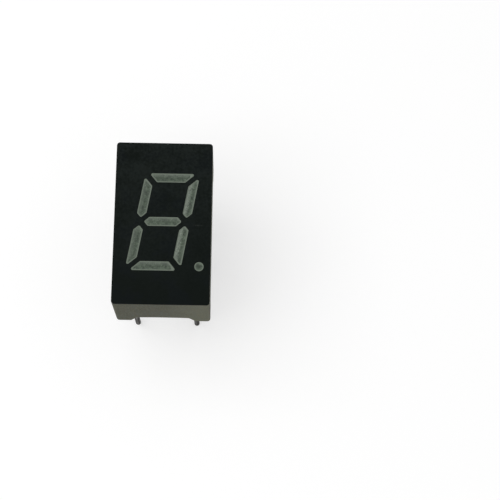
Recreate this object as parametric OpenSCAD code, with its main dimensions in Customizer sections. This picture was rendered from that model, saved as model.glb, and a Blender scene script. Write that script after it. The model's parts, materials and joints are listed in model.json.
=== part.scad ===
// Single-digit seven segment display with a decimal point, standing on its ten leads.
// The seating plane is z = 0 and the lead grid is centred on the origin: the front faces up (+Z),
// the top of the digit points along +Y, and the leads reach down.

/* [Body] */
// Width across the digit
body_w = 7.6; // [7.3:0.1:9.6]
// Height along the digit
body_h = 13.1; // [12.4:0.1:16]
// Depth from the seating plane to the front
body_d = 6; // [5:0.1:8]
// Radius of the four upright edges
corner_r = 0.25; // [0.2:0.05:0.8]
// Thickness of the wall round the back
wall = 0.25; // [0.2:0.01:0.35]
// Thickness of the black coat on the front
coat_t = 0.05; // [0.03:0.01:0.1]

/* [Feet] */
// Length of each foot along its wall, measured from the corner
foot_len = 1.2; // [1:0.05:1.8]
// Height of the feet above the wall between them
foot_h = 1.1; // [0.6:0.05:1.2]
// Length of the slope from a foot down to the wall
ramp_len = 0.5; // [0.2:0.05:0.8]
// Radius where the slope begins and ends
ramp_r = 0.2; // [0.1:0.05:0.3]
// How much deeper the wall dips in its middle
wall_dip = 0.1; // [0.05:0.05:0.2]

/* [Digit] */
// Width of the digit, measured upright
digit_w = 4.32; // [3.6:0.01:5.2]
// Height of the digit
digit_h = 7.9; // [6.5:0.05:9.5]
// Centre of the digit above the centre of the body
digit_y = 0.1; // [-0.3:0.05:0.3]
// Width of a lit bar
stroke = 0.75; // [0.62:0.01:0.95]
// Lean of the digit, in degrees
slant = 10; // [0:0.5:12]
// Gap between neighbouring bars
bar_gap = 0.42; // [0.3:0.01:0.6]
// Radius at the corners of a bar
tip_r = 0.12; // [0.05:0.01:0.16]
// Pale edge of the housing that shows round each bar
rim_w = 0.09; // [0.05:0.01:0.12]
// Diameter of the decimal point
point_d = 0.74; // [0.6:0.02:0.9]
// Decimal point to the right of the body's centre line
point_x = 2.91; // [2.8:0.01:3]

/* [Leads] */
// Distance between neighbouring leads in a row
pitch = 2.54; // [2:0.01:2.65]
// Distance between the two rows
row_gap = 5.08; // [4.8:0.01:5.4]
// Leads in each row
row_count = 5; // [5]
// Diameter of a lead
lead_d = 0.45; // [0.35:0.01:0.55]
// Length below the seating plane
lead_len = 8; // [3:0.1:12]
// How much thinner a lead has become at the front of the board
lead_taper = 0.03; // [0.01:0.005:0.05]
// Chamfer on the lead's cut end
cut_chamfer = 0.06; // [0.02:0.01:0.1]

/* [Board] */
// Back of the board above the seating plane
board_z = 1.8; // [1.7:0.05:2.2]
// Thickness of the board
board_t = 1; // [0.6:0.1:1.6]
// Clearance between the board's edge and the wall
board_gap = 0.05; // [0.02:0.01:0.15]
// Clearance round a lead in its hole, which solder fills
hole_gap = 0.08; // [0.05:0.01:0.12]
// Thickness of the copper, which lies flush in the board's faces
copper_t = 0.05; // [0.03:0.01:0.1]
// Width of a copper track
track_w = 0.2; // [0.12:0.01:0.25]
// Side of the square pad under a bond wire's foot
bond_pad_w = 0.4; // [0.3:0.02:0.5]
// Width of the copper that shows round a die
die_pad_edge = 0.05; // [0.03:0.01:0.08]
// Least gap between the common copper and the rest
track_gap = 0.1; // [0.05:0.01:0.15]
// Diameter of the copper round a lead on the front
front_ring_d = 0.95; // [0.85:0.05:1.2]
// Diameter of the copper round a lead on the back
back_ring_d = 1.5; // [1.2:0.05:1.7]
// Diameter of the loose round lands on the back
land_d = 1.1; // [0.8:0.1:1.2]
// Height of the solder cone on the back
solder_h = 0.35; // [0.2:0.05:0.4]
// Diameter of the solder cone at the board
solder_d = 1.1; // [0.9:0.05:1.2]

/* [Dice and wires] */
// Side of a light-emitting die
die_w = 0.3; // [0.25:0.01:0.38]
// Height of a die
die_h = 0.25; // [0.2:0.01:0.32]
// Clearance between a die and its light well
die_room = 0.06; // [0.03:0.01:0.1]
// Diameter of a bond wire
wire_d = 0.05; // [0.03:0.01:0.06]
// Radius of a bond wire's loop
loop_r = 0.4; // [0.35:0.01:0.5]

/* [Potting] */
// Edge of the clear potting below the lowest part of the wall
potting_low = 0.05; // [0:0.05:0.1]
// How far the potting sinks along its middle
potting_sag = 0.3; // [0.1:0.05:0.35]

/* [Hidden] */
$fn = 48;
over = 0.5;             // how far a cutter reaches past what it cuts
skin = 0.01;            // how far a cut begins below the seating plane
arc_steps = 5;          // flats in a rounded corner
dip_steps = 8;          // flats along the dip in a wall
least_r = 0.1;          // smallest radius of an inside corner
wire_end = 3;           // degrees that a bond wire runs on into its die before it is cut there
trough_fn = 360;        // sides of the cylinder that shapes the potting
bars = ["a", "b", "c", "d", "e", "f", "g"];
lights = concat(bars, ["dp"]);
pin_count = 2 * row_count;
pin_numbers = [1:pin_count];

// Levels above the seating plane
coat_z = body_d - coat_t;
board_top = board_z + board_t;
potting_z = foot_h + wall_dip + potting_low;

// Digit, measured upright from its own centre
half_w = digit_w / 2;
half_h = digit_h / 2;
bar_x = half_w - stroke / 2;
point_y = digit_y - half_h + point_d / 2;

// Light wells narrow towards their die
well_scale = (die_w + 2 * die_room) / (stroke - 2 * rim_w);
well_h = coat_z - board_top;

hole_r = lead_d / 2 + hole_gap;

// A bond wire stands on its loop's diameter, with the die under its other end
die_reach = sqrt(loop_r * loop_r - die_h * die_h);
loop_turn = 180 - asin(die_h / loop_r);

// The decimal point's well clears the die's outer corners
point_well_r = norm([die_reach + die_w / 2, die_w / 2]) + die_room;

// Loose round lands on the back of the board
lands = [[0.4, 2.1], [0.9, -1.8], [-0.7, -1.8], [0.8, -5.2]];

// Every lamp: its name, the turn of its bond wire, and the lead that feeds it
feeds = [["a", 0, 10], ["b", 90 - slant, 9], ["c", 90 - slant, 8], ["d", 180, 5],
         ["e", 270 - slant, 4], ["f", 90 - slant, 2], ["g", 180, 3], ["dp", 110, 7]];
// Leads of the common copper, and the leads and lamps that its tracks join
common_leads = [1, 6];
common = [["a", "g"], ["b", "g"], ["c", "g"], ["d", "g"], ["e", "g"], ["f", "g"],
          [1, "a"], [6, "d"], [6, "dp"]];

// ---- outlines ----

function unit(v) = v / norm(v);
function turned(v, a) = [v.x * cos(a) - v.y * sin(a), v.x * sin(a) + v.y * cos(a)];

// An arc of radius r that touches both sides of the corner p between a and b
function corner_arc(a, p, b, r) =
    let (u = unit(a - p), v = unit(b - p), half = acos(u * v) / 2,
         centre = p + unit(u + v) * r / sin(half),
         start = p + u * r / tan(half) - centre,
         turn = (180 - 2 * half) * sign(cross(v, u)))
    [for (i = [0:arc_steps]) centre + turned(start, turn * i / arc_steps)];

// An outline with every corner rounded
function rounded(pts, r) =
    [for (i = [0:len(pts) - 1])
        each corner_arc(pts[(i + len(pts) - 1) % len(pts)], pts[i], pts[(i + 1) % len(pts)], r)];

// A point of the upright digit, moved to its place on the leaning one
function leaning(p) = [p.x + p.y * tan(slant), p.y + digit_y];

// Sharp corners of the top, upper left and middle bars, drawn in by e on every side.
// Neighbouring bars meet along a line at 45 degrees, and each stands back from it by m.
function top_bar(e, m) =
    [[-half_w + stroke - e + m, half_h - stroke + e], [half_w - stroke + e - m, half_h - stroke + e],
     [half_w - e - m, half_h - e], [-half_w + e + m, half_h - e]];
function left_bar(e, m) =
    [[-bar_x, m], [-bar_x + stroke / 2 - e, m + stroke / 2 - e],
     [-half_w + stroke - e, half_h - stroke + e - m], [-half_w + e, half_h - e - m],
     [-half_w + e, m + stroke / 2 - e]];
function middle_bar(e, m) =
    [[-bar_x + m, 0], [-bar_x + m + stroke / 2 - e, e - stroke / 2],
     [bar_x - m - stroke / 2 + e, e - stroke / 2], [bar_x - m, 0],
     [bar_x - m - stroke / 2 + e, stroke / 2 - e], [-bar_x + m + stroke / 2 - e, stroke / 2 - e]];

// The mirror signs that carry one of those three bars to the bar called s
function side_of(s) = s == "b" || s == "c" ? -1 : 1;
function end_of(s) = s == "c" || s == "d" || s == "e" ? -1 : 1;
function bar_points(s, e) =
    let (m = (bar_gap / 2 + e) * sqrt(2),
         pts = s == "a" || s == "d" ? top_bar(e, m) : s == "g" ? middle_bar(e, m) : left_bar(e, m))
    [for (p = pts) leaning([p.x * side_of(s), p.y * end_of(s)])];

module bar_outline(s, e) polygon(rounded(bar_points(s, e), max(tip_r - e, tip_r / 2)));

// Where a lamp's die and wire are centred
function lamp_at(s) =
    s == "dp" ? [point_x, point_y]
    : s == "g" ? leaning([0, 0])
    : s == "a" || s == "d" ? leaning([0, (half_h - stroke / 2) * end_of(s)])
    : leaning([-bar_x * side_of(s), half_h / 2 * end_of(s)]);

function feed_of(s) = feeds[search([s], feeds)[0]];
function lead_at(n) =
    let (right = n > row_count, row = right ? pin_count - n : n - 1)
    [(right ? 1 : -1) * row_gap / 2, (row_count - 1) / 2 * pitch - row * pitch];
function die_at(s) = lamp_at(s) + turned([-die_reach, 0], feed_of(s)[1]);
function bond_at(s) = lamp_at(s) + turned([loop_r, 0], feed_of(s)[1]);
function place_of(x) = is_num(x) ? lead_at(x) : die_at(x);

// A rectangle with round corners
module plan(w, h, r) {
    square([w - 2 * r, h], center = true);
    square([w, h - 2 * r], center = true);
    for (x = [-1, 1], y = [-1, 1]) translate([x * (w / 2 - r), y * (h / 2 - r)]) circle(r);
}

module inside_plan(gap) {
    plan(body_w - 2 * wall - 2 * gap, body_h - 2 * wall - 2 * gap, max(corner_r - wall - gap, least_r));
}

// ---- housing ----

// What is cut from the wall between two feet: x runs along the wall and y up from the feet.
// Past its slopes the cut follows a shallow parabola.
function dip_points(length) =
    let (foot = [length / 2 - foot_len, -skin], low = [foot.x - ramp_len, foot_h],
         far = [foot.x + foot_len + over, foot.y],
         dip = [for (i = [1:dip_steps - 1]) let (t = 1 - 2 * i / dip_steps)
                [low.x * t, foot_h + wall_dip * (1 - t * t)]],
         right = concat([[far.x, -over], far], corner_arc(far, foot, low, ramp_r),
                        corner_arc(foot, low, dip[0], ramp_r)))
    concat(right, dip, [for (i = [len(right) - 1:-1:0]) [-right[i].x, right[i].y]]);

module wall_dips() {
    rotate([90, 0, 0]) linear_extrude(body_h + 2 * over, center = true) polygon(dip_points(body_w));
    rotate([90, 0, 90]) linear_extrude(body_w + 2 * over, center = true) polygon(dip_points(body_h));
}

// The light well of a bar: its outline at the front, narrowing to the die at the board
module bar_well(s, extra = 0) {
    c = lamp_at(s);
    low_scale = well_scale - (1 - well_scale) * extra / well_h;
    translate([c.x, c.y, coat_z]) {
        mirror([0, 0, 1]) linear_extrude(well_h + extra, scale = low_scale)
            translate(-c) bar_outline(s, rim_w);
        if (extra > 0) linear_extrude(extra) translate(-c) bar_outline(s, rim_w);
    }
}

// The decimal point's well widens towards the board, because its die and wire need the room
module point_well(extra = 0) {
    r = point_d / 2 - rim_w;
    translate([point_x, point_y, board_top]) {
        cylinder(r1 = point_well_r, r2 = r, h = well_h);
        if (extra > 0) {
            translate([0, 0, -extra]) cylinder(r = point_well_r, h = extra);
            translate([0, 0, well_h]) cylinder(r = r, h = extra);
        }
    }
}

module housing() {
    color("#6f7068") difference() {
        linear_extrude(coat_z) plan(body_w, body_h, corner_r);
        translate([0, 0, -over]) linear_extrude(board_top + over) inside_plan(0);
        wall_dips();
        for (s = bars) bar_well(s, over);
        point_well(over);
    }
}

module front_coat() {
    color("#1b1f1f") translate([0, 0, coat_z]) linear_extrude(coat_t) difference() {
        plan(body_w, body_h, corner_r);
        for (s = bars) bar_outline(s, 0);
        translate([point_x, point_y]) circle(d = point_d);
    }
}

// ---- lamps ----

module at_lamp(s) {
    translate([lamp_at(s).x, lamp_at(s).y, board_top]) rotate(feed_of(s)[1]) children();
}

module die(s) {
    color("#4a3f3a") at_lamp(s)
        translate([-die_reach - die_w / 2, -die_w / 2, 0]) cube([die_w, die_w, die_h]);
}

// A half ring that springs from the board's bond pad and lands on top of the die
module bond_wire(s) {
    color("#d4af4a") difference() {
        at_lamp(s) rotate([90, 0, 0])
            rotate_extrude(angle = loop_turn + wire_end) translate([loop_r, 0]) circle(d = wire_d);
        die(s);
    }
}

module segment(s) {
    color("#7c867a") difference() {
        bar_well(s);
        die(s);
        bond_wire(s);
    }
}

module decimal_point() {
    color("#7c867a") difference() {
        point_well();
        die("dp");
        bond_wire("dp");
    }
}

// ---- board ----

module track(from, to, grow = 0) {
    translate(from) rotate(atan2(to.y - from.y, to.x - from.x))
        translate([-grow, -track_w / 2 - grow]) square([norm(to - from) + 2 * grow, track_w + 2 * grow]);
}

// The copper under every die and the tracks that join it, drawn wider by grow
module common_plan(grow = 0) {
    for (f = feeds)
        translate(die_at(f[0])) rotate(f[1]) square(die_w + 2 * (die_pad_edge + grow), center = true);
    for (c = common) track(place_of(c[0]), place_of(c[1]), grow);
    for (n = common_leads) translate(lead_at(n)) circle(d = front_ring_d + 2 * grow);
}

// The pads under the bond wires' feet and their tracks to the other leads
module feed_plan() {
    for (f = feeds) {
        translate(bond_at(f[0])) rotate(f[1]) square(bond_pad_w, center = true);
        track(bond_at(f[0]), lead_at(f[2]));
        translate(lead_at(f[2])) circle(d = front_ring_d);
    }
}

module front_copper_plan() {
    difference() {
        union() {
            common_plan();
            difference() {
                feed_plan();
                common_plan(track_gap);
            }
        }
        for (n = pin_numbers) translate(lead_at(n)) circle(hole_r);
    }
}

module back_copper_plan() {
    for (n = pin_numbers) translate(lead_at(n)) difference() {
        circle(d = back_ring_d);
        circle(hole_r);
    }
    for (p = lands) translate(p) circle(d = land_d);
}

module front_copper() {
    color("#b87a4b") translate([0, 0, board_top - copper_t]) linear_extrude(copper_t) front_copper_plan();
}

module back_copper() {
    color("#a08a5a") translate([0, 0, board_z]) linear_extrude(copper_t) back_copper_plan();
}

module circuit_board() {
    color("#1f3a2a") difference() {
        translate([0, 0, board_z]) linear_extrude(board_t) inside_plan(board_gap);
        for (n = pin_numbers) translate([lead_at(n).x, lead_at(n).y, board_z - over])
            cylinder(r = hole_r, h = board_t + 2 * over);
        translate([0, 0, board_top - copper_t]) linear_extrude(copper_t + over) front_copper_plan();
        translate([0, 0, board_z - over]) linear_extrude(copper_t + over) back_copper_plan();
    }
}

// ---- leads ----

// The held part of a lead, from the seating plane to the front of the board
module lead_root(n, extra = 0) {
    root_d = lead_d - lead_taper;
    translate([lead_at(n).x, lead_at(n).y, 0]) {
        cylinder(d1 = lead_d, d2 = root_d, h = board_top);
        if (extra > 0) translate([0, 0, board_top]) cylinder(d = root_d, h = extra);
    }
}

module pin(n) {
    color("#b9bab6") {
        lead_root(n);
        translate([lead_at(n).x, lead_at(n).y, -lead_len]) {
            translate([0, 0, cut_chamfer]) cylinder(d = lead_d, h = lead_len - cut_chamfer);
            cylinder(d1 = lead_d - 2 * cut_chamfer, d2 = lead_d, h = cut_chamfer);
        }
    }
}

// The cone on the back of the board, and the barrel through its hole
module solder_body(n) {
    translate([lead_at(n).x, lead_at(n).y, board_z]) {
        cylinder(r = hole_r, h = board_t);
        mirror([0, 0, 1]) cylinder(d1 = solder_d, r2 = hole_r, h = solder_h);
    }
}

module solder(n) {
    color("#a9aaa4") difference() {
        solder_body(n);
        lead_root(n, over);
    }
}

// ---- potting ----

// Clear resin behind the board. Its surface is a shallow trough along the digit.
module potting() {
    half = body_w / 2 - wall;
    trough_r = (half * half + potting_sag * potting_sag) / (2 * potting_sag);
    color("#2a352d") difference() {
        translate([0, 0, potting_z]) linear_extrude(board_z - potting_z) inside_plan(0);
        translate([0, 0, potting_z + potting_sag - trough_r])
            rotate([90, 0, 0]) cylinder(r = trough_r, h = body_h, center = true, $fn = trough_fn);
        for (n = pin_numbers) {
            solder_body(n);
            lead_root(n);
        }
    }
}

// ---- the nodes ----

housing();
front_coat();
for (s = bars) segment(s);
decimal_point();
circuit_board();
front_copper();
back_copper();
for (s = lights) die(s);
for (s = lights) bond_wire(s);
for (n = pin_numbers) pin(n);
for (n = pin_numbers) solder(n);
potting();
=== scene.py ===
import bpy
import json
import math
import numpy as np
from mathutils import Matrix, Vector


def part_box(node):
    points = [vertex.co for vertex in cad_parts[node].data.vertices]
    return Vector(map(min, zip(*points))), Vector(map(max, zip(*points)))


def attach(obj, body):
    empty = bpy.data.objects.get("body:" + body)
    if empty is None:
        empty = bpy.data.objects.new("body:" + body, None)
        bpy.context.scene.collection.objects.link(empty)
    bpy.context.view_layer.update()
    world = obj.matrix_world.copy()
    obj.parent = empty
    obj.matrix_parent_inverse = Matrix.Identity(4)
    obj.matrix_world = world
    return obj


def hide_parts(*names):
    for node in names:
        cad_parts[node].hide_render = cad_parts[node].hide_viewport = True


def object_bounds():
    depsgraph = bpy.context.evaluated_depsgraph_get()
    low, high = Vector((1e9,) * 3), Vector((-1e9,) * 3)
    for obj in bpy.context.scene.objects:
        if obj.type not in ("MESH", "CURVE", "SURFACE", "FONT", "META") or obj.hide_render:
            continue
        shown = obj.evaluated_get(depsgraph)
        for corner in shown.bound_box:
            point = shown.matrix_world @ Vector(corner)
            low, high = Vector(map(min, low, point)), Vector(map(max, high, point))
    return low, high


# a seven segment display that stands on its ten leads, front up

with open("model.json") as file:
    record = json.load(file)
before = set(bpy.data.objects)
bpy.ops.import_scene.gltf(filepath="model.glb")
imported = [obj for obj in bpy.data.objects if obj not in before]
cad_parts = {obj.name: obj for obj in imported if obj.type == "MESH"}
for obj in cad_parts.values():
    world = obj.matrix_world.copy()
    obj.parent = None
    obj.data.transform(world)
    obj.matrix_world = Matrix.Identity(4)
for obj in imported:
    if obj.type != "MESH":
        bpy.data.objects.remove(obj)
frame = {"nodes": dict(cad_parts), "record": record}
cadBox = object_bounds()
nodes = frame["nodes"]
mounts = {m["name"]: m for m in frame["record"]["mounts"]}
mm = 0.001
scene = bpy.context.scene
bars = "abcdefg"
lamps = ["segment_" + s for s in bars] + ["decimal_point"]
leads = range(1, 11)
leadAt = {n: [c / mm for c in mounts["lead_%d" % n]["pos_m"]] for n in leads}
print("frame loaded:", len(nodes), "nodes")


# shader maths

class Sock:
    # one output of a node; arithmetic on it adds Math nodes
    def __init__(self, shading, out):
        self.shading, self.out = shading, out

    def math(self, how, *others):
        return self.shading.node("Math", {"operation": how}, self, *others)

    def __add__(self, other):
        return self.math("ADD", other)

    def __sub__(self, other):
        return self.math("SUBTRACT", other)

    def __rsub__(self, other):
        return self.shading.node("Math", {"operation": "SUBTRACT"}, other, self)

    def __mul__(self, other):
        return self.math("MULTIPLY", other)

    __radd__ = __add__
    __rmul__ = __mul__

    def atMost(self, other):
        return self.math("MINIMUM", other)

    def atLeast(self, other):
        return self.math("MAXIMUM", other)

    def size(self):
        return self.math("ABSOLUTE")

    def nearest(self, step):  # the nearest multiple of the step
        return (self * (1 / step)).math("ROUND") * step

    def between(self, low, high):  # low where this is 0, high where it is 1
        return self * (high - low) + low

    def rise(self, low, high):  # 0 below low, 1 above high, smooth between
        eased = {"interpolation_type": "SMOOTHSTEP"}
        return self.shading.node("MapRange", eased, self, low, high, 0.0, 1.0)


class Shading:
    # the nodes of a material or of the world
    def __init__(self, tree):
        self.tree = tree

    def node(self, kind, settings, *values, out=0, **named):
        made = self.tree.nodes.new("ShaderNode" + kind)
        for key, value in settings.items():
            setattr(made, key, value)
        for key, value in [*enumerate(values), *named.items()]:
            self.set(made, key, value)
        return Sock(self, made.outputs[out])

    def set(self, node, key, value):  # key is a socket's number, or its name without spaces
        if isinstance(key, str):
            key = next(name for name in node.inputs.keys() if name.replace(" ", "") == key)
        socket = node.inputs[key]
        if isinstance(value, Sock):
            self.tree.links.new(value.out, socket)
        elif socket.type == "RGBA":
            socket.default_value = (*value, 1)
        else:
            socket.default_value = value

    def mix(self, factor, a, b):
        mixed = self.node("Mix", {"data_type": "RGBA"}, factor, out=2)
        for key, value in ((6, a), (7, b)):  # its two colours
            self.set(mixed.out.node, key, value)
        return mixed

    def rays(self):
        # whether a ray is the camera's, whether it was mirrored or let through, and its length
        path = self.node("LightPath", {}).out.node
        seen, mirrored, through, length = [
            Sock(self, path.outputs[key])
            for key in ("Is Camera Ray", "Is Glossy Ray", "Is Transmission Ray", "Ray Length")]
        return seen, mirrored.atLeast(through), length


class Finish(Shading):
    # a material with one Principled shader; what is the same all over is set on its sockets
    def __init__(self, name, **uniform):
        self.material = bpy.data.materials.new(name)
        self.material.use_nodes = True
        super().__init__(self.material.node_tree)
        self.shader = self.tree.nodes["Principled BSDF"]
        self.use(**uniform)
        place = self.node("TexCoord", {}, out="Object")
        self.place = self.node("VectorMath", {"operation": "SCALE"}, place, Scale=1 / mm)
        self.x, self.y, self.z = self.split(self.place)

    def use(self, **sockets):
        for key, value in sockets.items():
            self.set(self.shader, key, value)
        return self.material

    def split(self, vector):
        made = self.node("SeparateXYZ", {}, vector).out.node
        return [Sock(self, out) for out in made.outputs]

    def facing(self):  # x, y and z of the way the surface faces
        return self.split(self.node("NewGeometry", {}, out="Normal"))

    def length(self, x, y):  # of the arrow to (x, y)
        flat = self.node("CombineXYZ", {}, x, y)
        return self.node("VectorMath", {"operation": "LENGTH"}, flat, out="Value")

    def stretched(self, scale, turn=(0, 0, 0)):
        return self.node("Mapping", {}, self.place, Scale=scale, Rotation=turn)

    def noise(self, scale, detail=2.0, rough=0.5, warp=0.0, at=None):
        return self.node("TexNoise", {}, Vector=at or self.place, Scale=scale, Detail=detail,
                         Roughness=rough, Distortion=warp)

    def specks(self, scale):  # distance from the nearest of many points, in steps of their spacing
        return self.node("TexVoronoi", {"feature": "F1"}, Vector=self.place, Scale=scale)

    def own(self, name):  # the piece's own attribute
        return self.node("Attribute", {"attribute_name": name}, out="Fac")

    def edge(self, radius):  # edges catch the light as if they had this radius
        return self.node("Bevel", {"samples": 6}, Radius=radius * mm)

    def bump(self, height, depth, strength=1.0, under=None):  # depth in mm, for a height of 1
        bumped = self.node("Bump", {}, Strength=strength, Distance=depth * mm, Height=height)
        if under is not None:
            self.set(bumped.out.node, "Normal", under)
        return bumped


def shade(colour, share):  # darker below 1, paler above
    return tuple(c * share for c in colour)


def paint(names, material):
    for name in names:
        slots = nodes[name].data.materials
        slots.clear()
        slots.append(material)


# stage

view = {
    "place": (5.44, -30.18, 113.36),    # mm
    "right": (0.99976, 0.01399, 0.01683),
    "down": (0.01779, -0.96732, -0.25295),
    "lens": 102.7,
    "clip": (1, 5000),
}
light = {
    "ambient": 0.60,
    "keyPlace": (-75, -10, 190),        # mm
    "keyWidth": 190,
    "keyLevel": 0.46,
    "floorColour": (0.58, 0.58, 0.58),
    "floorWidth": 3000,
    "floorGap": 0.02,                   # mm below the leads
    "letThrough": (0.06, 0.02),         # mm; longer rays stop at the floor, shorter ones go through
    "lift": 0.66,                       # brings the floor to white where it is seen
    "lit": 0.735,                       # share of that where the key lights it
    "litTo": (60, 300),                 # mm from the middle, where the key's light begins to fail and ends
}


def makeCamera(settings):
    right = Vector(settings["right"]).normalized()
    back = right.cross(-Vector(settings["down"])).normalized()
    up = back.cross(right)
    camera = bpy.data.objects.new("camera", bpy.data.cameras.new("camera"))
    camera.data.lens = settings["lens"]
    camera.data.clip_start, camera.data.clip_end = [d * mm for d in settings["clip"]]
    turn = Matrix((right, up, back)).transposed().to_4x4()
    camera.matrix_world = Matrix.Translation(Vector(settings["place"]) * mm) @ turn
    scene.collection.objects.link(camera)
    scene.camera = camera


def makeWorld(settings):
    # white where it is seen, mirrored or seen through something, and dimmer as a light
    world = bpy.data.worlds.new("studio")
    world.use_nodes = True
    sky = Shading(world.node_tree)
    seen, bounced = sky.rays()[:2]
    background = sky.tree.nodes["Background"]
    sky.set(background, "Color", (1, 1, 1))
    sky.set(background, "Strength", seen.atLeast(bounced).between(settings["ambient"], 1))
    scene.world = world


def makeKey(settings):
    # the power that lights a white surface facing the lamp to keyLevel
    place = Vector(settings["keyPlace"]) * mm
    lamp = bpy.data.lights.new("key", "AREA")
    lamp.size = settings["keyWidth"] * mm
    lamp.energy = settings["keyLevel"] * math.pi ** 2 * place.length_squared
    key = bpy.data.objects.new("key", lamp)
    key.location = place
    key.rotation_euler = place.to_track_quat("Z", "Y").to_euler()
    scene.collection.objects.link(key)


def makeFloor(settings):
    # one square just under the leads; it can't be seen from below, and light gets in under the lead ends
    half = settings["floorWidth"] / 2 * mm
    z = cadBox[0].z - settings["floorGap"] * mm
    corners = [(-half, -half, z), (half, -half, z), (half, half, z), (-half, half, z)]
    mesh = bpy.data.meshes.new("floor")
    mesh.from_pydata(corners, [], [(0, 1, 2, 3)])
    floor = bpy.data.objects.new("floor", mesh)
    scene.collection.objects.link(floor)
    f = Finish("floorPaint", BaseColor=settings["floorColour"], Roughness=0.9, SpecularIORLevel=0.0)
    seen, bounced, travelled = f.rays()
    below = f.node("NewGeometry", {}, out="Backfacing")
    longer, shorter = settings["letThrough"]
    near = (1 - travelled.rise(shorter * mm, longer * mm)) * (1 - seen)
    unlit = f.length(f.x, f.y).rise(*settings["litTo"])
    glow = f.mix(unlit, (settings["lit"],) * 3, (1, 1, 1))
    f.use(EmissionColor=f.mix(seen.atLeast(bounced), (0, 0, 0), glow), EmissionStrength=settings["lift"])
    painted = Sock(f, f.shader.outputs[0])
    clear = f.node("BsdfTransparent", {})
    blend = f.node("MixShader", {}, (below * seen).atLeast(near), painted, clear)
    f.set(f.tree.nodes["Material Output"], "Surface", blend)
    mesh.materials.append(f.material)


scene.view_settings.view_transform = "Standard"
makeCamera(view)
makeWorld(light)
makeKey(light)
makeFloor(light)
print("stage ready")


# new surfaces

def softNoise(x, y, cell, random):
    # random heights from -1 to 1 on a square lattice, eased by 3s^2 - 2s^3 from one point to the next
    lattice = 64
    heights = random.uniform(-1, 1, (lattice, lattice))
    u, v = x / cell + lattice / 2, y / cell + lattice / 2
    i, j = np.floor(u).astype(int) % (lattice - 1), np.floor(v).astype(int) % (lattice - 1)
    s, t = u - np.floor(u), v - np.floor(v)
    s, t = s * s * (3 - 2 * s), t * t * (3 - 2 * t)
    low = heights[i, j] * (1 - s) + heights[i + 1, j] * s
    high = heights[i, j + 1] * (1 - s) + heights[i + 1, j + 1] * s
    return low * (1 - t) + high * t


def makeSurface(name, points, faces, smooth, attribute, values):
    # points in mm; smooth tells which faces are shaded smooth; the attribute has a value for each point
    mesh = bpy.data.meshes.new(name)
    mesh.from_pydata(points * mm, [], faces)
    mesh.polygons.foreach_set("use_smooth", smooth)
    held = mesh.attributes.new(attribute, "FLOAT", "POINT")
    held.data.foreach_set("value", values)
    piece = bpy.data.objects.new(name, mesh)
    scene.collection.objects.link(piece)
    return piece


# resin in the light wells

plug = {
    "sink": 0.025,              # mm; how far its face sank as it cured
    "reach": 0.09,              # how far in from the edge the face is still rising
    "proud": 0.001,             # how far its edge stands above the housing
    "spread": 0.003,            # how far it runs into the well's wall
    "dent": 0.008,
    "dentCells": (0.45, 0.17),
    "skin": (0.05, 0.15),       # how far in its pale edge fades, on the lower right and on the upper left; the edge is paler all round, and painted light makes it wider and paler on the upper left
    "paleEdgeAndLightLevel": (0.6, 1.0),    # and how pale it is there
    "lightCourse": (0.8, -0.6),  # the way in from the palest edge, on the side the painted light comes from
    "points": 220,              # round the outline
    "rings": 14,
    "crowding": 1.6,            # above 1 the rings stand closer near the edge
    "innermost": 0.96,          # share of the way to the middle line where the rings end
    "seed": 5,
}


def span(points):  # middle and half size of the points' box
    low, high = points.min(0), points.max(0)
    return (high + low) / 2, (high - low) / 2


def outlineAt(name, end):
    # outline of a node's top (1) or foot (-1), which is convex, as its points in order round the middle,
    # with its level
    points = np.empty(len(nodes[name].data.vertices) * 3)
    nodes[name].data.vertices.foreach_get("co", points)
    points = points.reshape(-1, 3) / mm
    level = (points[:, 2] * end).max() * end
    tolerance = 0.001
    flat = points[np.abs(points[:, 2] - level) < tolerance, :2]
    x, y = (flat - span(flat)[0]).T
    return flat[np.argsort(np.arctan2(y, x))], level


def evenly(points, count):
    # as many points at equal steps along the closed outline
    closed = np.vstack([points, points[:1]])
    run = np.concatenate([[0], np.cumsum(np.hypot(*np.diff(closed, axis=0).T))])
    at = np.linspace(0, run[-1], count, endpoint=False)
    return np.stack([np.interp(at, run, closed[:, k]) for k in (0, 1)], -1)


def wayIn(edge, middle):
    # from each point of the edge to the nearest point of the middle line, which runs the long way through
    # the middle and stops half a width short of both ends
    axis = np.linalg.svd(edge - middle, full_matrices=False)[2]
    long, wide = np.abs((edge - middle) @ axis.T).max(0)
    along = np.clip((edge - middle) @ axis[0], wide - long, long - wide)
    return middle + along[:, None] * axis[0] - edge


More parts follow.
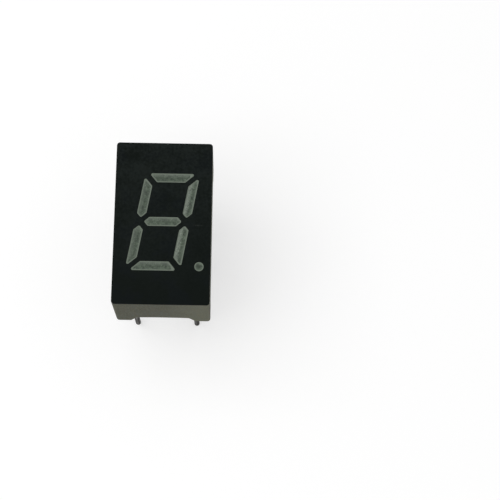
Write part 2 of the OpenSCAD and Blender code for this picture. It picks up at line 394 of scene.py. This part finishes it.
def makePlug(name, settings, random):
    # rings from the outline towards the middle line, each point on a straight way there; the face falls
    # away from its edge exponentially, and so does the pale edge, which is partly painted light; below the
    # edge one band goes down to the foot, which is the outline scaled to the foot's box
    outline, top = outlineAt(name, 1)
    foot, bottom = outlineAt(name, -1)
    middle, half = span(outline)
    footMiddle, footHalf = span(foot)
    edge = evenly(outline, settings["points"])
    inward = wayIn(edge, middle)
    toMiddle = np.linalg.norm(inward, axis=1)
    course = inward / toMiddle[:, None]
    edge = edge - course * settings["spread"]
    steps = np.linspace(0, 1, settings["rings"])[:, None, None]
    t = steps ** settings["crowding"] * settings["innermost"]
    rings = edge + inward * t
    away = toMiddle * t[..., 0]
    sunk = 1 - np.exp(-away / settings["reach"])
    dents = sum(softNoise(rings[..., 0], rings[..., 1], cell, random) for cell in settings["dentCells"])
    z = top + settings["proud"] - settings["sink"] * sunk + settings["dent"] * dents * sunk
    below = footMiddle + (edge - middle) / half * footHalf
    footRing = np.column_stack([below, np.full(len(below), bottom)])
    points = np.concatenate([footRing[None], np.dstack([rings, z])])
    # painted light: the edge is palest on the upper left
    upperLeft = 0.5 + 0.5 * course @ settings["lightCourse"]
    fade, level = [np.interp(upperLeft, (0, 1), settings[key]) for key in ("skin", "paleEdgeAndLightLevel")]
    skin = np.exp(-away / fade) * level
    index = np.arange(points[..., 0].size).reshape(points.shape[:2])
    ahead = np.roll(index, -1, axis=1)
    bands = np.stack([index[:-1], ahead[:-1], ahead[1:], index[1:]], -1).reshape(-1, 4)
    faces = bands.tolist() + [index[-1].tolist(), index[0, ::-1].tolist()]
    smooth = np.arange(len(faces)) >= settings["points"]
    smooth[-1] = False
    piece = makeSurface(name + "_resin", points.reshape(-1, 3), faces, smooth,
                        "skin", np.concatenate([skin[:1], skin]).ravel())
    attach(piece, "root")
    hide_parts(name)
    return piece


random = np.random.default_rng(plug["seed"])
plugs = [makePlug(name, plug, random) for name in lamps]
print("resin ready:", len(plugs), "plugs")


# clear potting with its creases

potting = {
    "into": 0.02,               # mm; how far it runs into the walls and the board
    "sag": 0.3,                 # hollow along the middle
    "wall": (0.045, 0.2),       # how far it climbs the walls, and how far out that reaches
    "corner": (0.5, 0.28),      # the same in the corners
    "lead": (0.16, 0.15),       # and round the leads
    "ripple": 0.03,             # height of the slow ripples
    "rippleCells": (1.1, 0.5),  # those with the smaller cell have half the height
    "dimple": 0.001,            # height of the fine ones
    "dimpleCell": 0.19,
    "calm": 0.5,                # how far from the walls the ripples and creases have their full height
    "patchy": (0.95, 0.8),      # how much of the painted glint the creases have on the whole, and how much that varies
    "patchCell": 0.35,
    "faintest": 0.1,
    "acrossCells": 176,
    "alongCells": 312,
    "seed": 11,
}
# skin of the resin where it wrinkled as it set: height and half width of each ridge and its points, in mm
creases = [
    (0.060, 0.095, [(0.07, 5.9), (0.21, 5.0), (0.07, 4.2), (-0.07, 3.9), (0.16, 3.4), (0.02, 2.7),
                    (0.07, 1.9), (-0.03, 1.3), (-0.08, 0.4), (-0.17, 0.0), (-0.12, -0.5), (0.12, -1.0),
                    (-0.27, -1.3), (0.02, -1.8), (-0.17, -2.1), (0.07, -2.4), (-0.08, -2.9), (0.12, -3.6),
                    (-0.03, -3.9), (0.16, -4.3)]),
    (0.035, 0.045, [(0.2, 0.45), (0.55, 0.0), (0.9, -0.6), (0.75, -1.1), (0.3, -1.7)]),
    (0.035, 0.045, [(0.9, -0.25), (0.3, 0.05), (-0.3, 0.1), (-0.7, -0.1), (-0.95, -0.6), (-0.75, -1.0),
                    (-0.4, -1.15), (-0.2, -0.85), (-0.35, -0.5)]),
    (0.030, 0.045, [(-0.3, -2.3), (0.1, -2.2), (0.6, -2.15), (0.85, -2.6), (0.6, -2.95), (0.25, -2.8)]),
    (0.030, 0.045, [(0.5, -3.0), (0.85, -3.45), (0.6, -4.1)]),
    (0.040, 0.050, [(-1.6, -1.8), (-1.2, -2.4), (-0.8, -2.8)]),
    (0.035, 0.045, [(-0.5, -3.4), (-0.9, -3.1), (-1.3, -2.8)]),
    (0.035, 0.045, [(-0.55, -3.5), (-0.6, -4.1), (-0.5, -4.7)]),
    (0.040, 0.050, [(0.6, -4.4), (0.1, -4.6), (-0.2, -4.9), (0.15, -5.2), (0.25, -5.6), (-0.15, -5.75),
                    (-0.45, -5.4), (-0.2, -5.0)]),
    (0.035, 0.045, [(0.3, -4.7), (0.35, -5.3), (0.05, -5.9), (-0.5, -6.0)]),
    (0.035, 0.045, [(1.3, -5.2), (0.9, -4.9), (0.95, -4.4)]),
    (0.035, 0.045, [(-0.15, 3.6), (-0.5, 4.0), (-0.65, 3.5), (-0.7, 3.0)]),
    (0.030, 0.040, [(-0.6, 1.5), (-0.75, 2.1), (-1.1, 2.25)]),
    (0.030, 0.040, [(-1.2, 1.7), (-0.9, 1.9), (-1.15, 2.1)]),
    (0.030, 0.040, [(-1.35, 1.1), (-1.9, 0.9), (-2.35, 1.2)]),
    (0.030, 0.040, [(-1.3, 0.6), (-1.35, 0.1)]),
    (0.030, 0.040, [(2.1, 1.2), (1.7, 1.0), (1.4, 1.6), (1.3, 1.2)]),
    (0.035, 0.050, [(-1.95, -1.0), (-2.2, -1.4), (-2.5, -1.9)]),
    (0.030, 0.045, [(-2.3, -3.6), (-2.7, -4.2)]),
    (0.030, 0.045, [(-2.1, 4.0), (-2.35, 3.6)]),
    (0.030, 0.045, [(2.7, 4.0), (2.85, 3.7)]),
    (0.050, 0.060, [(1.05, 5.95), (0.75, 5.88), (0.45, 5.93)]),
    (0.035, 0.045, [(-1.75, 2.15), (-1.87, 1.9), (-1.78, 1.65)]),
    (0.040, 0.050, [(-2.2, 1.95), (-2.45, 1.85), (-2.62, 2.0)]),
    (0.035, 0.045, [(-2.5, 4.25), (-2.68, 4.1)]),
    (0.035, 0.045, [(2.92, 1.6), (2.8, 1.33)]),
    (0.035, 0.045, [(2.3, 0.82), (2.2, 0.55)]),
    (0.035, 0.045, [(-2.48, -0.72), (-2.7, -0.86)]),
    (0.035, 0.045, [(2.92, -1.15), (2.76, -1.32), (2.86, -1.62)]),
    (0.035, 0.045, [(3.2, -3.7), (3.0, -3.86)]),
    (0.035, 0.045, [(3.15, -5.5), (2.92, -5.68)]),
    (0.035, 0.045, [(-3.08, -5.45), (-3.28, -5.6)]),
    (0.035, 0.045, [(0.5, -4.75), (0.2, -5.05), (-0.35, -5.2), (-0.1, -5.5), (0.2, -5.75), (-0.35, -5.95),
                    (-0.75, -5.9)]),
    (0.030, 0.040, [(0.75, -1.9), (0.95, -2.35), (0.8, -2.75), (0.35, -2.9)]),
]


def curveThrough(points, each=6):
    # Catmull-Rom spline through the points: each span is a cubic, and at each point it runs along the chord
    # between that point's neighbours
    p = np.array([points[0], *points, points[-1]], float)
    t = np.linspace(0, 1, each, endpoint=False)[:, None, None]
    a, b, c, d = p[:-3], p[1:-2], p[2:-1], p[3:]
    straight = 2 * b + (c - a) * t
    spans = 0.5 * (straight + (2 * a - 5 * b + 4 * c - d) * t ** 2 + (3 * b - a - 3 * c + d) * t ** 3)
    return np.vstack([spans.transpose(1, 0, 2).reshape(-1, 2), p[-1:]])


def distanceTo(line, x, y):
    # least distance from each point (x, y) to a polyline: to the foot of the perpendicular on each piece,
    # or to its nearer end
    a, step = line[:-1], np.diff(line, axis=0)
    dx, dy = x[..., None] - a[:, 0], y[..., None] - a[:, 1]
    along = np.clip((dx * step[:, 0] + dy * step[:, 1]) / (step ** 2).sum(1), 0, 1)
    return np.hypot(dx - along * step[:, 0], dy - along * step[:, 1]).min(-1)


def climb(away, height, reach):  # falls away exponentially with the distance
    return height * np.exp(-away / reach)


def pottingHeight(x, y, low, settings):
    # a parabola across the digit, drawn out along the walls, the corners and the leads by exponentials of
    # the distance to each, plus slow and fine ripples and a bell-shaped ridge along each crease; also how
    # much of a crease is at each point, which places the painted glint
    random = np.random.default_rng(settings["seed"])
    wallX, wallY = x.max() - np.abs(x), y.max() - np.abs(y)
    z = low + settings["sag"] * (1 - (x / x.max()) ** 2)
    z = z - climb(wallX, *settings["wall"]) - climb(wallY, *settings["wall"])
    z = z - climb(wallX + wallY, *settings["corner"])
    for n in leads:
        away = np.hypot(x - leadAt[n][0], y - leadAt[n][1]) - mounts["lead_%d" % n]["dims"]["r_mm"]
        z = z - climb(np.maximum(away, 0), *settings["lead"])
    calm = np.clip(np.minimum(wallX, wallY) / settings["calm"], 0, 1)
    slow, slower = [softNoise(x, y, cell, random) for cell in settings["rippleCells"]]
    z = z + calm * settings["ripple"] * (slow + 0.5 * slower)
    z = z + calm * settings["dimple"] * softNoise(x, y, settings["dimpleCell"], random)
    crease = np.zeros_like(x)
    for height, width, points in creases:
        bell = np.exp(-(distanceTo(curveThrough(points), x, y) / width) ** 2)
        z = z - calm * height * bell
        crease = np.maximum(crease, calm * bell * height / creases[0][0])
    level, spread = settings["patchy"]
    patchy = level + softNoise(x, y, settings["patchCell"], random) * spread
    return z, crease * np.clip(patchy, settings["faintest"], 1)


def makePotting(settings):
    # the rippled face on a grid, a wall of quads round its border up to the board, and one flat lid there
    low, high = [[c / mm for c in corner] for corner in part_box("potting")]
    halfWide, halfLong = high[0] + settings["into"], high[1] + settings["into"]
    across = np.linspace(-halfWide, halfWide, settings["acrossCells"] + 1)
    along = np.linspace(-halfLong, halfLong, settings["alongCells"] + 1)
    x, y = np.meshgrid(across, along, indexing="ij")
    z, crease = pottingHeight(x, y, low[2], settings)
    face = np.stack([x, y, z], -1)
    index = np.arange(x.size).reshape(x.shape)
    quads = np.stack([index[:-1, :-1], index[:-1, 1:], index[1:, 1:], index[1:, :-1]], -1)
    rim = np.concatenate([index[:-1, 0], index[-1, :-1], index[:0:-1, -1], index[0, :0:-1]])
    lid = face.reshape(-1, 3)[rim]
    lid[:, 2] = high[2] + settings["into"]
    top = np.arange(len(rim)) + x.size
    walls = np.stack([rim, np.roll(rim, -1), np.roll(top, -1), top], -1)
    faces = quads.reshape(-1, 4).tolist() + walls.tolist() + [top.tolist()]
    piece = makeSurface("potting_surface", np.vstack([face.reshape(-1, 3), lid]), faces,
                        np.arange(len(faces)) < quads[..., 0].size,
                        "crease", np.concatenate([crease.ravel(), np.zeros(len(rim))]))
    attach(piece, "root")
    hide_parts("potting")
    return piece


pottingPiece = makePotting(potting)
print("potting ready:", len(pottingPiece.data.polygons), "faces")


# finishes

# lengths are in mm; a noise is (waves per mm, detail, roughness, warp); the pair for a rise() is where it is
# 0 and where it is 1, and the pair for a between() is what it gives for 0 and for 1

housingLook = {
    "warm": (0.103, 0.100, 0.063),
    "cool": (0.094, 0.103, 0.077),
    "hue": (7.0, 2),                    # from warm to cool
    "hueStretch": (1, 1, 0.7),
    "hueTurn": (0, 0, 1),
    "hueEdges": (0.36, 0.64),
    "shades": (0.65, 1.45),             # darkest and lightest share of these
    "tone": 0.28,                       # how far from dark to light it is on the whole
    "patch": (0.8, 4, 0.6, 0.3),
    "patches": 0.25,                    # how much tone the patches, the grain and the flecks add or take
    "grain": (14, 3, 0.65),
    "grains": 1.5,
    "fleck": (7.0, 4, 0.7),
    "flecks": 1.7,
    "paintedLight": 0.6,                        # painted light: how much paler the right end of the front wall is
    "paintedLightFacing": (-0.9, -0.4),
    "paintedLightFrom": (-0.5, 3.4),            # x
    "rim": (0.180, 0.212, 0.172),       # painted light: paler on faces that face the front, such as round the bars
    "rimFacing": (0.5, 0.95),
    "rimCover": (0.7, 1.2),
    "litFoot": (0.30, 0.31, 0.255),     # painted light: paler on faces that face the back, such as the feet
    "footFacing": (-0.95, -0.5),
    "footCover": (0.5, 1.1),
    "roughness": (0.45, 0.65),
    "fleckHeight": 0.5,                 # of the grain's
    "depth": 0.005,
    "edgeRadius": 0.05,
}


def housingPlastic():
    look = housingLook
    f = Finish("housingPlastic", SpecularIORLevel=0.05)
    toFront, facing = f.facing()[1:]
    patch, grain, fleck = [f.noise(*look[key]) for key in ("patch", "grain", "fleck")]
    streak = f.stretched(look["hueStretch"], look["hueTurn"])
    hue = f.noise(*look["hue"], at=streak).rise(*look["hueEdges"])
    # painted light: the front wall is paler towards its right end
    paintedLight = (1 - toFront.rise(*look["paintedLightFacing"])) * f.x.rise(*look["paintedLightFrom"]) * look["paintedLight"]
    tone = (patch - 0.5) * look["patches"] + (grain - 0.5) * look["grains"]
    tone = tone + (fleck - 0.5) * look["flecks"] + paintedLight + look["tone"]
    dark, light = [f.mix(hue, shade(look["warm"], share), shade(look["cool"], share))
                   for share in look["shades"]]
    colour = f.mix(tone, dark, light)
    # painted light: faces that face the front take the paler rim colour
    lightShare = facing.rise(*look["rimFacing"]) * fleck.between(*look["rimCover"])
    colour = f.mix(lightShare, colour, look["rim"])
    # painted light: faces that face the back take the paler foot colour
    paintedFootLight = (1 - facing.rise(*look["footFacing"])) * fleck.between(*look["footCover"])
    colour = f.mix(paintedFootLight, colour, look["litFoot"])
    height = grain + fleck * look["fleckHeight"]
    texture = f.bump(height, look["depth"], under=f.edge(look["edgeRadius"]))
    return f.use(BaseColor=colour, Roughness=patch.between(*look["roughness"]), Normal=texture)


coatLook = {
    "ink": (0.0012, 0.0030, 0.0020),
    "blue": (0.0015, 0.0033, 0.0034),
    "tint": (0.55, 3, 0.6),             # from ink to blue
    "tintEdges": (0.48, 0.62),
    "dustAndSheen": (0.0091, 0.0124, 0.0112),
    "haze": (0.32, 5, 0.62),
    "blotch": (4.2, 4, 0.75),
    "dustyEdges": (0.39, 0.61),
    "sheenUp": (0.075, 0.58),           # painted sheen: how much more of the paler colour there is for each mm up, and how much at y = 0
    "scratch": (0.030, 0.034, 0.031),
    "rubAt": -0.16,                     # y of one long faint rub right of the middle bar
    "rubWaves": 1.2,
    "rubWander": 0.06,
    "rubWidth": 0.05,
    "rubFrom": (2.25, 2.6),
    "rubTo": (3.05, 3.35),
    "rubGrain": (9, 2),                 # breaks it up
    "rubEdges": (0.3, 0.6),
    "rubCover": 0.75,
    "hair": (1.0, 2, 0.5),              # short hair lines all over
    "hairStretch": (1.2, 26, 1),
    "hairTurn": (0, 0, 0.35),
    "hairEdges": (0.66, 0.74),
    "hairCover": 0.14,
    "speck": 3.4,                       # specks of dust for each mm
    "speckSize": (0.02, 0.075),
    "speckPatch": 1.7,                  # where they lie
    "speckEdges": (0.5, 0.62),
    "speckCover": 0.35,
    "roughness": (0.46, 0.64),
    "grain": (30, 2, 0.5),
    "depth": 0.002,
    "edgeRadius": 0.03,
}


def blackCoat():
    look = coatLook
    f = Finish("blackCoat", SpecularIORLevel=0.055)
    haze, grain, blotch = [f.noise(*look[key]) for key in ("haze", "grain", "blotch")]
    away = (f.y - look["rubAt"] + (f.noise(look["rubWaves"]) - 0.5) * look["rubWander"]).size()
    rub = (1 - away.rise(0.0, look["rubWidth"])) * f.noise(*look["rubGrain"]).rise(*look["rubEdges"])
    rub = rub * f.x.rise(*look["rubFrom"]) * (1 - f.x.rise(*look["rubTo"]))
    streak = f.stretched(look["hairStretch"], look["hairTurn"])
    hairs = f.noise(*look["hair"], at=streak).rise(*look["hairEdges"]) * haze
    specks = 1 - f.specks(look["speck"]).rise(*look["speckSize"])
    specks = specks * f.noise(look["speckPatch"]).rise(*look["speckEdges"])
    dust = (haze * 0.5 + blotch * 0.5).rise(*look["dustyEdges"])
    eachUp, atMiddle = look["sheenUp"]
    colour = f.mix(f.noise(*look["tint"]).rise(*look["tintEdges"]), look["ink"], look["blue"])
    # dust mottle, with painted sheen that grows towards the top
    colour = f.mix(dust * (f.y * eachUp + atMiddle), colour, look["dustAndSheen"])
    colour = f.mix((rub * look["rubCover"]).atLeast(hairs * look["hairCover"]), colour, look["scratch"])
    colour = f.mix(specks * look["speckCover"], colour, look["scratch"])
    texture = f.bump(grain, look["depth"], under=f.edge(look["edgeRadius"]))
    return f.use(BaseColor=colour, Roughness=haze.between(*look["roughness"]), Normal=texture)


digit = {                               # as in the CAD
    "lean": 10.0,                       # degrees
    "middle": 0.1,                      # y
    "column": 1.785,                    # from the digit's middle to that of its upright bars
}
resinLook = {
    "clear": (0.025, 0.037, 0.0255),
    "cloud": (0.077, 0.105, 0.072),
    "clouds": (4.5, 4, 0.7, 0.4),
    "cloudEdges": (0.3, 0.7),
    "cloudier": 0.07,                   # how much more of the cloud there is for each mm to the right
    "speck": (0.235, 0.280, 0.225),
    "grain": 15,                        # grains for each mm
    "grainSize": (0.08, 0.5),
    "grainEdges": (0.42, 0.72),
    "grainFrost": 0.4,                  # how much more grain the frost has
    "fine": (20, 2, 0.6),
    "frost": (0.31, 0.345, 0.300),      # of the pale edge, and of the inner edge of the two bars on the right
    "frostFrom": (1.36, 1.44),          # from the middle of the digit
    "frostTo": (-0.26, 0.08),           # from the middle of those bars
    "frostEdges": (0.3, 0.6),           # it is broken up by the fine noise
    "frostCover": 0.36,
    "paleEdgeAndLightCover": (0.08, 0.26),          # in the decimal point, and in the bars
    "pointReach": (0.55, 0.605),        # from the decimal point's middle: its edge, and just past it
    "centre": (0.092, 0.23),            # the point is clearer in its middle
    "centreCover": 0.75,
    "centreShade": 0.7,
    "roughness": (0.26, 0.46),
    "grainHeight": 0.2,                 # of the clouds'
    "fineHeight": 0.15,
    "depth": 0.02,
    "bump": 0.7,
}


def diffusingResin():
    look = resinLook
    f = Finish("diffusingResin", SpecularIORLevel=0.2)
    across = f.x - (f.y - digit["middle"]) * math.tan(math.radians(digit["lean"]))
    cloud, fine = f.noise(*look["clouds"]), f.noise(*look["fine"])
    grain = f.specks(look["grain"])
    column = across - digit["column"]
    frost = across.rise(*look["frostFrom"]) * (1 - column.rise(*look["frostTo"]))
    low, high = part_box("decimal_point")
    point = (low + high) / 2 / mm
    far = f.length(f.x - point.x, f.y - point.y)
    cloudy = cloud.rise(*look["cloudEdges"]) * (across * look["cloudier"] + 1)
    colour = f.mix(cloudy, look["clear"], look["cloud"])
    speckled = (fine * 0.5 + cloud * 0.5 + frost * look["grainFrost"]).rise(*look["grainEdges"])
    colour = f.mix((1 - grain.rise(*look["grainSize"])) * speckled, colour, look["speck"])
    # the pale edge, partly painted light, is fainter in the decimal point
    skin = f.own("skin") * far.rise(*look["pointReach"]).between(*look["paleEdgeAndLightCover"])
    frosty = frost * fine.rise(*look["frostEdges"]) * look["frostCover"]
    colour = f.mix(skin + frosty, colour, look["frost"])
    centre = (1 - far.rise(*look["centre"])) * look["centreCover"]
    colour = f.mix(centre, colour, shade(look["clear"], look["centreShade"]))
    height = cloud + grain * look["grainHeight"] + fine * look["fineHeight"]
    texture = f.bump(height, look["depth"], look["bump"])
    return f.use(BaseColor=colour, Roughness=cloud.between(*look["roughness"]), Normal=texture)


landLook = {
    "loose": ((0.4, 2.1), (0.9, -1.8), (-0.7, -1.8), (0.8, -5.2)),   # lands without a lead, as in the CAD
    "looseLess": 0.15,                  # how much smaller these are than the ones round the leads
    "wander": (2.2, 3, 0.6),
    "ragged": 0.4,                      # how far their edges wander
}


def toLand(f):
    # distance from the axis of the nearest lead, or a bit more than that from the nearest loose land
    look = landLook
    row, pitch = leadAt[10][0], leadAt[10][1] - leadAt[9][1]
    away = f.length(f.x.size() - row, f.y - f.y.nearest(pitch))
    for x, y in look["loose"]:
        away = away.atMost(f.length(f.x - x, f.y - y) + look["looseLess"])
    return away + (f.noise(*look["wander"]) - 0.5) * look["ragged"]


boardLook = {
    "blue": (0.010, 0.018, 0.023),
    "green": (0.060, 0.062, 0.042),
    "patch": (0.8, 5, 0.65, 0.6),       # of green
    "patchEdges": (0.36, 0.58),
    "patchCover": (0.25, 1),
    "bluePlace": (1.1, 4.3),            # where it is darkest
    "blueReach": (0.9, 2.3),
    "blueLong": 0.6,                    # it reaches further up and down, where distances count for less
    "blueCover": (0.15, 1),
    "speckle": (6, 4, 0.7),
    "speckleEdges": (0.45, 0.75),
    "speckles": 0.4,
    "speckleShade": 1.8,
    "blot": (0.20, 0.25, 0.205),
    "blotPlace": (-1.05, -5.3),
    "blotRadius": (0.294, 0.42),
    "blotEdge": (3, 3),
    "blotRagged": 0.3,
    "blotCover": 0.85,
    "flux": (0.225, 0.188, 0.110),      # browned round the leads and the lands
    "fluxReach": (0.60, 1.50),
    "stain": (5, 4, 0.7),
    "stainCover": (0.5, 1),
    "depth": 0.002,
}


def lacquered(f, speckle):
    look = boardLook
    x, y = look["bluePlace"]
    fromBlue = f.length(f.x - x, (f.y - y) * look["blueLong"]).rise(*look["blueReach"])
    patch = f.noise(*look["patch"]).rise(*look["patchEdges"]).between(*look["patchCover"])
    colour = f.mix(patch * fromBlue.between(*look["blueCover"]), look["blue"], look["green"])
    paler = shade(look["green"], look["speckleShade"])
    return f.mix(speckle.rise(*look["speckleEdges"]) * look["speckles"], colour, paler)


def browned(f, away, colour):
    look = boardLook
    stain = f.noise(*look["stain"]).between(*look["stainCover"])
    return f.mix((1 - away.rise(*look["fluxReach"])) * stain, colour, look["flux"])


def boardLaminate():
    look = boardLook
    f = Finish("boardLaminate", Roughness=0.5, SpecularIORLevel=0.05)
    speckle = f.noise(*look["speckle"])
    colour = browned(f, toLand(f), lacquered(f, speckle))
    x, y = look["blotPlace"]
    far = f.length(f.x - x, f.y - y) + (f.noise(*look["blotEdge"]) - 0.5) * look["blotRagged"]
    blot = (1 - far.rise(*look["blotRadius"])) * look["blotCover"]
    return f.use(BaseColor=f.mix(blot, colour, look["blot"]), Normal=f.bump(speckle, look["depth"]))


copperLook = {
    "fade": (0.36, 0.80),               # from a land's middle, where the lacquer begins and is whole
    "brown": (0.30, 0.235, 0.13),
    "tan": (0.60, 0.50, 0.31),
    "stain": (1.5, 4, 0.7, 0.5),
    "stainEdges": (0.3, 0.7),
    "roughness": (0.4, 0.7),
    "grain": (9, 3),
    "depth": 0.004,
}


def copperFoil():
    # the lacquer over the foil hides its outer edge
    look = copperLook
    f = Finish("copperFoil", Metallic=0.1, SpecularIORLevel=0.05)
    stain = f.noise(*look["stain"])
    away = toLand(f)
    bare = f.mix(stain.rise(*look["stainEdges"]), look["brown"], look["tan"])
    covered = browned(f, away, lacquered(f, f.noise(*boardLook["speckle"])))
    colour = f.mix(1 - away.rise(*look["fade"]), covered, bare)
    texture = f.bump(f.noise(*look["grain"]), look["depth"])
    return f.use(BaseColor=colour, Roughness=stain.between(*look["roughness"]), Normal=texture)


dieLook = {
    "dark": (0.05, 0.035, 0.03),
    "pale": (0.12, 0.085, 0.05),
    "mottle": (12, 2),
    "edges": (0.35, 0.65),
}


def dieChip():
    look = dieLook
    f = Finish("dieChip", Roughness=0.3)
    mottle = f.noise(*look["mottle"]).rise(*look["edges"])
    return f.use(BaseColor=f.mix(mottle, look["dark"], look["pale"]))


wireLook = {
    "dull": (0.75, 0.50, 0.18),
    "bright": (0.9, 0.68, 0.30),
    "mottle": (8, 2),
    "roughness": (0.2, 0.35),
}


def goldWire():
    look = wireLook
    f = Finish("goldWire", Metallic=1.0)
    mottle = f.noise(*look["mottle"])
    colour = f.mix(mottle, look["dull"], look["bright"])
    return f.use(BaseColor=colour, Roughness=mottle.between(*look["roughness"]))


leadLook = {
    "tin": (0.46, 0.45, 0.42),
    "dull": (0.115, 0.108, 0.096),
    "drawn": (1.0, 3, 0.55),            # streaks along the lead
    "drawnStretch": (9, 9, 0.3),
    "patch": (0.9, 4, 0.6, 0.4),
    "pit": (26, 2),
    "streaks": 0.8,                     # shares in where the tin is bare
    "patches": 0.3,
    "bareEdges": (0.42, 0.68),
    "tinCover": (0.8, 1.1),
    # painted shade: the leads are darker towards their ends
    "tipShade": (0.028, 0.026, 0.024),
    "tipShaded": (-6.0, -4.2),          # z where the painted shade is full, and where it has gone
    "tipShadeCover": 0.9,
    "cut": (0.66, 0.64, 0.53),          # the sheared end
    "cutFacing": (-0.95, -0.6),
    "cutCover": (0.75, 1.15),
    "metal": (0.45, 0.95),              # where it is dull, and where the tin is bare
    "cutLess": 0.3,                     # how much less metal the cut and the painted shade show
    "tipShadeLess": 0.4,
    "roughness": (0.62, 0.32),          # where it is dull, and where the tin is bare
    "pitRougher": 0.08,
    "tipShadeRougher": 0.1,
    "patchHeight": 0.5,                 # of the streaks'
    "pitHeight": 0.15,
    "depth": 0.008,
    "edgeRadius": 0.03,
}


def tinnedLead():
    look = leadLook
    f = Finish("tinnedLead", SpecularIORLevel=0.1)
    drawn = f.noise(*look["drawn"], at=f.stretched(look["drawnStretch"]))
    patch, pit = f.noise(*look["patch"]), f.noise(*look["pit"])
    bare = (drawn * look["streaks"] + patch * look["patches"]).rise(*look["bareEdges"])
    # painted shade towards the ends of the leads
    tipShade = 1 - f.z.rise(*look["tipShaded"])
    cut = 1 - f.facing()[2].rise(*look["cutFacing"])
    colour = f.mix(bare * pit.between(*look["tinCover"]), look["dull"], look["tin"])
    colour = f.mix(tipShade * look["tipShadeCover"], colour, look["tipShade"])
    colour = f.mix(cut * pit.between(*look["cutCover"]), colour, look["cut"])
    metal = bare.between(*look["metal"]) - cut * look["cutLess"] - tipShade * look["tipShadeLess"]
    rough = bare.between(*look["roughness"]) + pit * look["pitRougher"] + tipShade * look["tipShadeRougher"]
    height = drawn + patch * look["patchHeight"] + pit * look["pitHeight"]
    texture = f.bump(height, look["depth"], under=f.edge(look["edgeRadius"]))
    return f.use(BaseColor=colour, Metallic=metal, Roughness=rough, Normal=texture)


solderLook = {
    "grey": (0.20, 0.15, 0.10),
    "flux": (0.100, 0.055, 0.028),      # it has browned the solder towards the board
    "fluxFrom": (1.35, 1.6),            # z
    "stain": (5, 3, 0.6),
    "stainEdges": (0.15, 0.55),
    "roughness": (0.3, 0.55),
    "depth": 0.03,
}


def dullSolder():
    look = solderLook
    f = Finish("dullSolder", Metallic=0.4)
    stain = f.noise(*look["stain"])
    flux = f.z.rise(*look["fluxFrom"]) * stain.rise(*look["stainEdges"])
    return f.use(BaseColor=f.mix(flux, look["grey"], look["flux"]),
                 Roughness=stain.between(*look["roughness"]), Normal=f.bump(stain, look["depth"]))


clearLook = {
    "murky": (0.66, 0.70, 0.62),
    "clear": (0.92, 0.93, 0.86),
    "murk": (0.9, 4, 0.6, 0.6),
    "murkEdges": (0.3, 0.7),
    # painted glint: the ridges of the creases are white metal that mirrors the surroundings
    "paintedGlint": (0.93, 0.95, 0.93),
    "paintedGlintEdges": (0.2, 0.75),
    "lightShare": (0.3, 0.3, 0.3),            # share of its reflections that is kept, which dims them; the painted glint on the ridges is not dimmed
}


def clearResin():
    look = clearLook
    f = Finish("clearResin", Roughness=0.03, IOR=1.5, TransmissionWeight=1.0, SpecularTint=look["lightShare"])
    # painted glint along the ridges of the creases
    paintedGlint = f.own("crease").rise(*look["paintedGlintEdges"])
    colour = f.mix(f.noise(*look["murk"]).rise(*look["murkEdges"]), look["murky"], look["clear"])
    return f.use(BaseColor=f.mix(paintedGlint, colour, look["paintedGlint"]), Metallic=paintedGlint)


dice = [*bars, "dp"]
paint(["housing"], housingPlastic())
paint(["front_coat"], blackCoat())
resin = diffusingResin()
paint(lamps, resin)
for piece in plugs:
    piece.data.materials.append(resin)
paint(["circuit_board"], boardLaminate())
paint(["front_copper", "back_copper"], copperFoil())
paint(["die_" + s for s in dice], dieChip())
paint(["bond_wire_" + s for s in dice], goldWire())
paint(["pin_%d" % n for n in leads], tinnedLead())
paint(["solder_%d" % n for n in leads], dullSolder())
clear = clearResin()
paint(["potting"], clear)
pottingPiece.data.materials.append(clear)
print("finishes ready")
